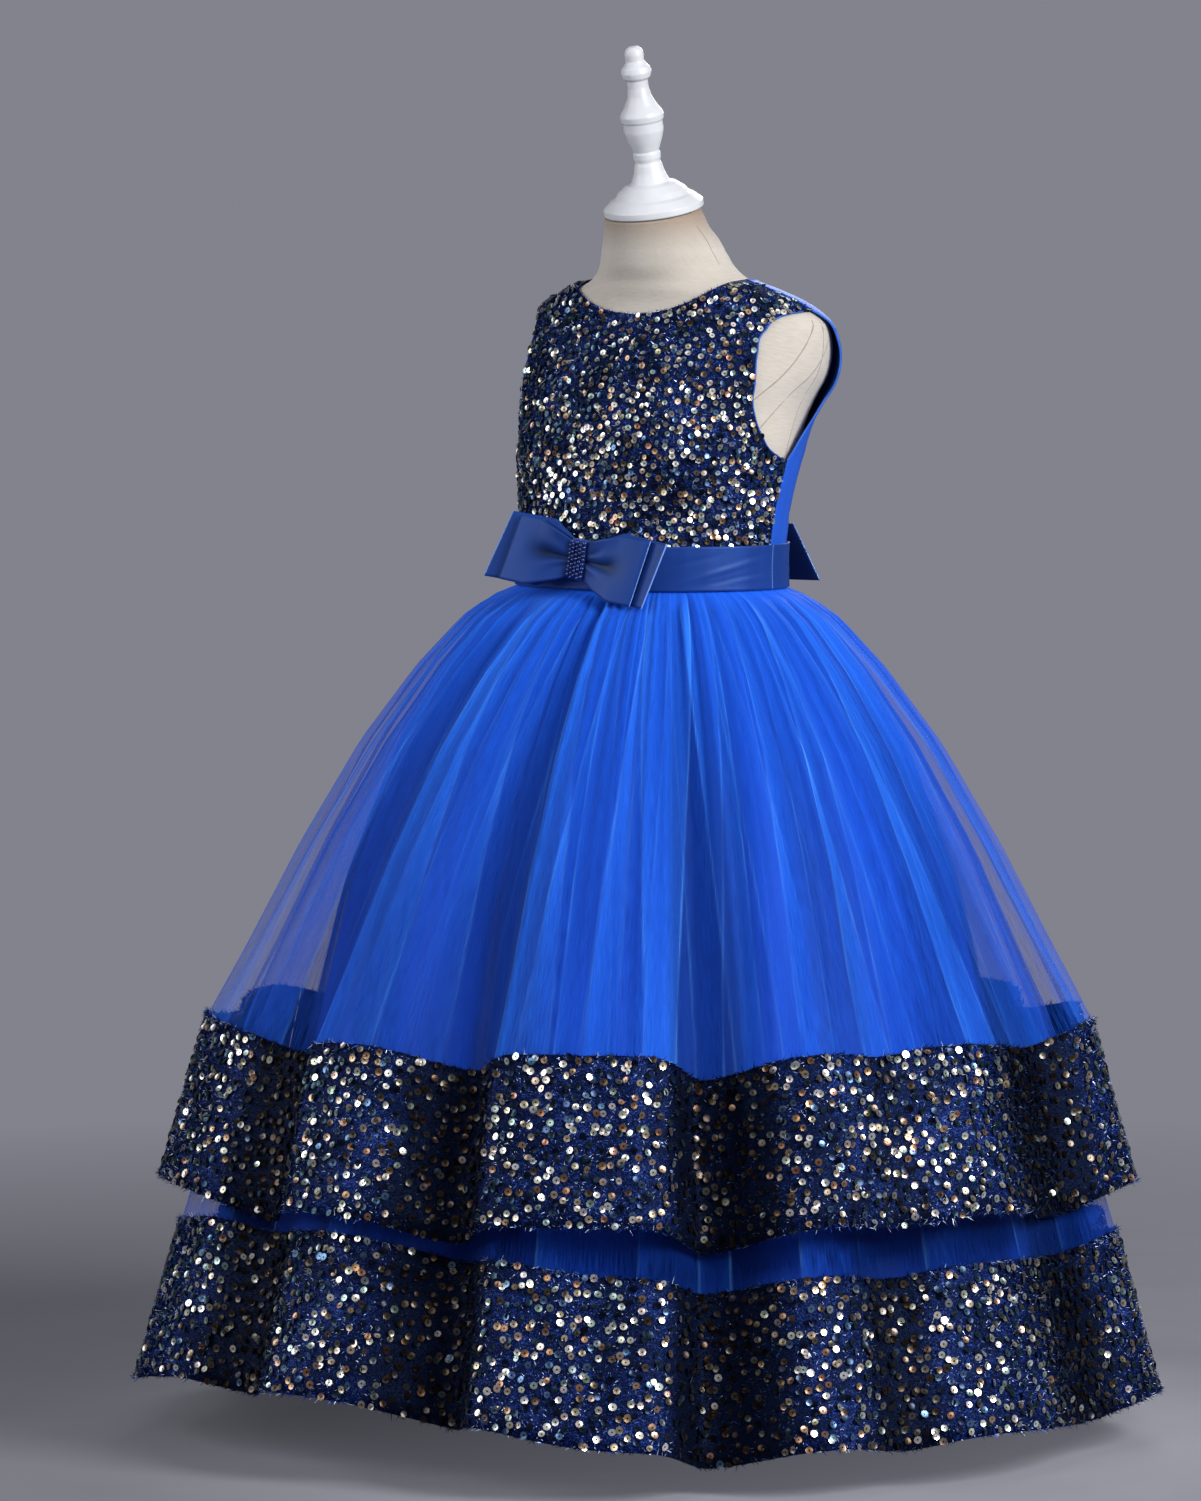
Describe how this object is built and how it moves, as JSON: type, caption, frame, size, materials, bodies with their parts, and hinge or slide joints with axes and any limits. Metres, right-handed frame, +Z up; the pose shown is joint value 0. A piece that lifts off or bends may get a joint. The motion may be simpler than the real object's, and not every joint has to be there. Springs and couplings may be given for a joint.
{
  "type": "ball gown on a dress form",
  "caption": "Girl's sleeveless ball gown with a sequin bodice, ribbon bows and tiered tulle skirts with sequin bands, standing on the limbless dress form that carries it.",
  "frame": {"origin": "on the floor, under the middle of the stand's round base", "axes": "+Z up, the gown faces -Y, and the wearer's left is +X"},
  "size_m": [0.8659, 0.8755, 1.1722],
  "materials": {
    "navy_sequin_cloth": "navy net covered in small metallic sequins",
    "royal_satin": "royal blue satin with a soft sheen",
    "navy_satin": "navy satin ribbon",
    "royal_tulle": "sheer royal blue tulle",
    "blue_enamel": "navy enamelled zip metal",
    "cream_linen": "plain-woven cream linen, stretched smooth",
    "white_paint": "white satin paint over turned wood and steel"
  },
  "bodies": {
    "gown_and_form": {"bodice_front": "navy_sequin_cloth", "bodice_back_left": "royal_satin", "bodice_back_right": "royal_satin", "belt_front": "navy_satin", "belt_back_left": "navy_satin", "belt_back_right": "navy_satin", "bow_front_ribbon": "navy_satin", "bow_front_loops": "navy_satin", "bow_front_knot": "navy_satin", "bow_back_loops": "navy_satin", "bow_back_knot": "navy_satin", "zip_slider": "blue_enamel", "underskirt_front": "royal_satin", "underskirt_back": "royal_satin", "tulle_lower_front": "royal_tulle", "tulle_lower_back": "royal_tulle", "band_lower_front": "navy_sequin_cloth", "band_lower_back": "navy_sequin_cloth", "tulle_upper_front": "royal_tulle", "tulle_upper_back": "royal_tulle", "band_upper_front": "navy_sequin_cloth", "band_upper_back": "navy_sequin_cloth", "form_torso": "cream_linen", "form_neck_cap": "white_paint", "form_pole": "white_paint", "form_base": "white_paint"},
    "zip_pull_tab": {"zip_pull": "blue_enamel"}
  },
  "joints": [
    {"name": "zip_pull_swing", "type": "hinge", "parent": "gown_and_form", "child": "zip_pull_tab", "pos_m": [0, 0.09938, 0.96403], "axis": [1, 0, 0], "range_deg": [0, 150]}
  ]
}
